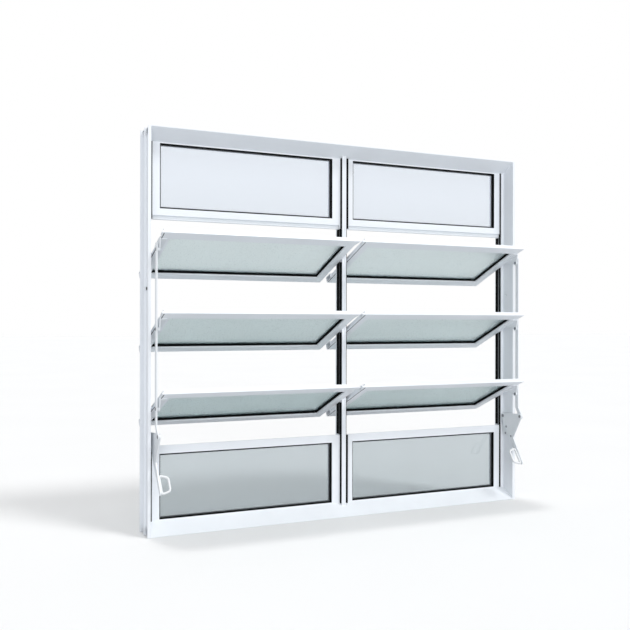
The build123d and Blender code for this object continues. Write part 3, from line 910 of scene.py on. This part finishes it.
class WINDOW_OT_handles(bpy.types.Operator):
    """Make the loop handle of each lever"""

    bl_idname = "pivot_window.handles"
    bl_label = "Loop handles"

    def execute(self, context):
        sizes = settings().handle
        material = named_material("moulded_nylon", moulded, settings().finish.handle)
        arm = np.array((0.0, ARM_TIP[0] - KNEE[0], ARM_TIP[1] - KNEE[1]))
        down_arm = arm / np.linalg.norm(arm)
        half = sizes.stroke / 2
        corners = np.array((
            (HANDLE_END - half, half),
            (HANDLE_END - sizes.length + half, half),
            (HANDLE_END - sizes.length + sizes.taper + half * HANDLE_LEAN, sizes.reach - half),
            (HANDLE_END - sizes.taper - half * HANDLE_LEAN, sizes.reach - half),
        ))
        path = rounded_path(corners, sizes.corner, CORNER_STEPS)
        section = soft_square(half, BAR_POWER, BAR_STEPS) * (1.0, sizes.depth / sizes.stroke)
        for side, sign in SIDES.items():
            origin = np.array(jamb_place(sign, HANDLE_REACH, ARM_TIP))
            inward = np.array((-float(sign), 0.0, 0.0))
            surface = loop_bar(path, origin, down_arm, inward, section)
            build_piece(
                f"{side}_loop_handle", [surface], material, f"{side}_lever_body",
                smooth_angle=50.0, replaced=(f"{side}_handle",),
            )
        return {"FINISHED"}


class WINDOW_OT_rivets(bpy.types.Operator):
    """Make the heads on the pins and the rivets of ears, levers and brackets"""

    bl_idname = "pivot_window.rivets"
    bl_label = "Pin heads and rivets"

    def execute(self, context):
        sizes = settings().rivet
        high = sizes.height
        low = BACK_SHARE * sizes.height
        large = LARGE_SHARE * sizes.pin_head
        for side, sign in SIDES.items():
            for level, pivot_z in LEVELS.items():
                rod_pin = (ROD_PIN[0], pivot_z + ROD_PIN[1])
                heads = [
                    turned_head(jamb_place(sign, ROD_BACK, rod_pin), sign, sizes.pin_head, low),
                    turned_head(jamb_place(sign, EAR_FACE, rod_pin), -sign, sizes.pin_head, high),
                ]
                build_piece(
                    f"{side}_{level}_ear_rivets", heads, steel_material(), f"{side}_{level}_sash_body",
                )
            heads = [
                turned_head(jamb_place(sign, ROD_BACK, LEVER_EYE), sign, large, low),
                turned_head(jamb_place(sign, LEVER_FACE, LEVER_EYE), -sign, sizes.pin_head, high),
            ]
            for place in LEVER_RIVETS:
                rivet = jamb_place(sign, LEVER_FACE, place)
                heads.append(turned_head(rivet, -sign, sizes.rivet_head, high))
            build_piece(f"{side}_lever_rivets", heads, steel_material(), f"{side}_lever_body")
            heads = [turned_head(jamb_place(sign, PIVOT_FACE, LEVER_PIVOT), -sign, large, high)]
            for place in BRACKET_RIVETS:
                rivet = jamb_place(sign, BRACKET_FACE, place)
                heads.append(turned_head(rivet, -sign, sizes.rivet_head, high))
            build_piece(f"{side}_bracket_rivets", heads, steel_material(), "frame")
        return {"FINISHED"}


def floor_material(colour, seen_colour):
    """Pale floor: seen straight it is close to white and keeps its shadow."""
    material, shader = new_material("pale_floor")
    links = material.node_tree.links
    path = add_node(material, "ShaderNodeLightPath")
    clouds = ranged(material, noise(material, scale=1.2, detail=3.0), (0.3, 0.7), (0.985, 1.0))
    seen = add_node(material, "ShaderNodeMath", operation="MAXIMUM")
    links.new(path.outputs["Is Camera Ray"], seen.inputs[0])
    links.new(path.outputs["Is Transmission Ray"], seen.inputs[1])
    tone = blended(material, seen.outputs[0], colour, seen_colour)
    node = add_node(material, "ShaderNodeMix", data_type="RGBA", blend_type="MULTIPLY")
    node.inputs[MIX_FACTOR].default_value = 1.0
    links.new(tone, node.inputs[MIX_A])
    links.new(clouds, node.inputs[MIX_B])
    links.new(node.outputs[MIX_RESULT], shader.inputs["Base Color"])
    shader.inputs["Roughness"].default_value = 0.9
    shader.inputs["Specular IOR Level"].default_value = 0.1
    return material


class WINDOW_OT_stage(bpy.types.Operator):
    """Make the floor, the soft light and the camera"""

    bl_idname = "pivot_window.stage"
    bl_label = "Stage"

    def execute(self, context):
        sizes = settings().stage
        scene = context.scene
        scene.view_settings.view_transform = "Standard"
        mesh = bpy.data.meshes.new("floor")
        corners = [
            (-FLOOR_REACH, -FLOOR_REACH, FLOOR_HEIGHT), (FLOOR_REACH, -FLOOR_REACH, FLOOR_HEIGHT),
            (FLOOR_REACH, FLOOR_REACH, FLOOR_HEIGHT), (-FLOOR_REACH, FLOOR_REACH, FLOOR_HEIGHT),
        ]
        mesh.from_pydata(corners, [], [(0, 1, 2, 3)])
        mesh.materials.append(floor_material(tuple(sizes.floor), tuple(sizes.floor_seen)))
        floor = bpy.data.objects.new("floor", mesh)
        scene.collection.objects.link(floor)

        world = bpy.data.worlds.new("even_light")
        world.use_nodes = True
        nodes, links = world.node_tree.nodes, world.node_tree.links
        output = nodes["World Output"]
        lit = nodes["Background"]
        lit.inputs["Color"].default_value = SKY_TINT
        lit.inputs["Strength"].default_value = sizes.sky_strength
        seen = nodes.new("ShaderNodeBackground")
        seen.inputs["Color"].default_value = SKY_SEEN
        seen.inputs["Strength"].default_value = 1.0
        path = nodes.new("ShaderNodeLightPath")
        either = nodes.new("ShaderNodeMath")
        either.operation = "MAXIMUM"
        mix = nodes.new("ShaderNodeMixShader")
        links.new(path.outputs["Is Camera Ray"], either.inputs[0])
        links.new(path.outputs["Is Transmission Ray"], either.inputs[1])
        glossy = nodes.new("ShaderNodeMath")
        glossy.operation = "MAXIMUM"
        links.new(either.outputs[0], glossy.inputs[0])
        links.new(path.outputs["Is Glossy Ray"], glossy.inputs[1])
        links.new(glossy.outputs[0], mix.inputs[0])
        links.new(lit.outputs[0], mix.inputs[1])
        links.new(seen.outputs[0], mix.inputs[2])
        links.new(mix.outputs[0], output.inputs["Surface"])
        scene.world = world

        for name, strength, spread, turn in LAMPS:
            lamp = bpy.data.lights.new(name, "SUN")
            lamp.energy = getattr(sizes, strength)
            lamp.angle = math.radians(spread)
            light = bpy.data.objects.new(name, lamp)
            light.rotation_euler = tuple(math.radians(angle) for angle in turn)
            scene.collection.objects.link(light)

        lens = bpy.data.cameras.new("camera")
        lens.sensor_width = SENSOR_WIDTH
        lens.lens = sizes.lens
        lens.shift_y = sizes.shift
        lens.clip_end = CLIP_END
        camera = bpy.data.objects.new("camera", lens)
        camera.location = tuple(sizes.camera_place)
        camera.rotation_euler = tuple(sizes.camera_turn)
        scene.collection.objects.link(camera)
        scene.camera = camera
        return {"FINISHED"}


OPERATORS = (
    WINDOW_OT_paint,
    WINDOW_OT_glaze,
    WINDOW_OT_light_gaskets,
    WINDOW_OT_sash_gaskets,
    WINDOW_OT_seals,
    WINDOW_OT_cover_strips,
    WINDOW_OT_stile_shade_lines,
    WINDOW_OT_grommets,
    WINDOW_OT_screw_ports,
    WINDOW_OT_handles,
    WINDOW_OT_rivets,
    WINDOW_OT_stage,
)


class WINDOW_PT_dressing(bpy.types.Panel):
    """Settings and operators of the pivot window"""

    bl_idname = "WINDOW_PT_dressing"
    bl_label = "Pivot window"
    bl_space_type = "VIEW_3D"
    bl_region_type = "UI"
    bl_category = "Pivot window"

    def draw(self, context):
        for group in ("finish", "gasket", "seal", "handle", "rivet", "stage"):
            box = self.layout.box()
            box.label(text=group.capitalize())
            values = getattr(settings(), group)
            for key in values.bl_rna.properties.keys():
                if key not in ("rna_type", "name"):
                    box.prop(values, key)
        for operator in OPERATORS:
            self.layout.operator(operator.bl_idname)


CLASSES = (
    FinishSettings,
    GasketSettings,
    SealSettings,
    HandleSettings,
    RivetSettings,
    StageSettings,
    WindowSettings,
    *OPERATORS,
    WINDOW_PT_dressing,
)


def register():
    """Registers the classes and puts the settings on the scene."""
    for item in CLASSES:
        bpy.utils.register_class(item)
    bpy.types.Scene.pivot_window = bpy.props.PointerProperty(type=WindowSettings)


def unregister():
    """Takes the settings and the classes away again."""
    del bpy.types.Scene.pivot_window
    for item in reversed(CLASSES):
        bpy.utils.unregister_class(item)


def main():
    register()
    bpy.ops.pivot_window.paint()
    bpy.ops.pivot_window.glaze()
    bpy.ops.pivot_window.light_gaskets()
    bpy.ops.pivot_window.sash_gaskets()
    bpy.ops.pivot_window.seals()
    bpy.ops.pivot_window.cover_strips()
    bpy.ops.pivot_window.stile_beads()
    bpy.ops.pivot_window.grommets()
    bpy.ops.pivot_window.screw_ports()
    bpy.ops.pivot_window.handles()
    bpy.ops.pivot_window.rivets()
    bpy.ops.pivot_window.stage()


if __name__ == "__main__":
    main()
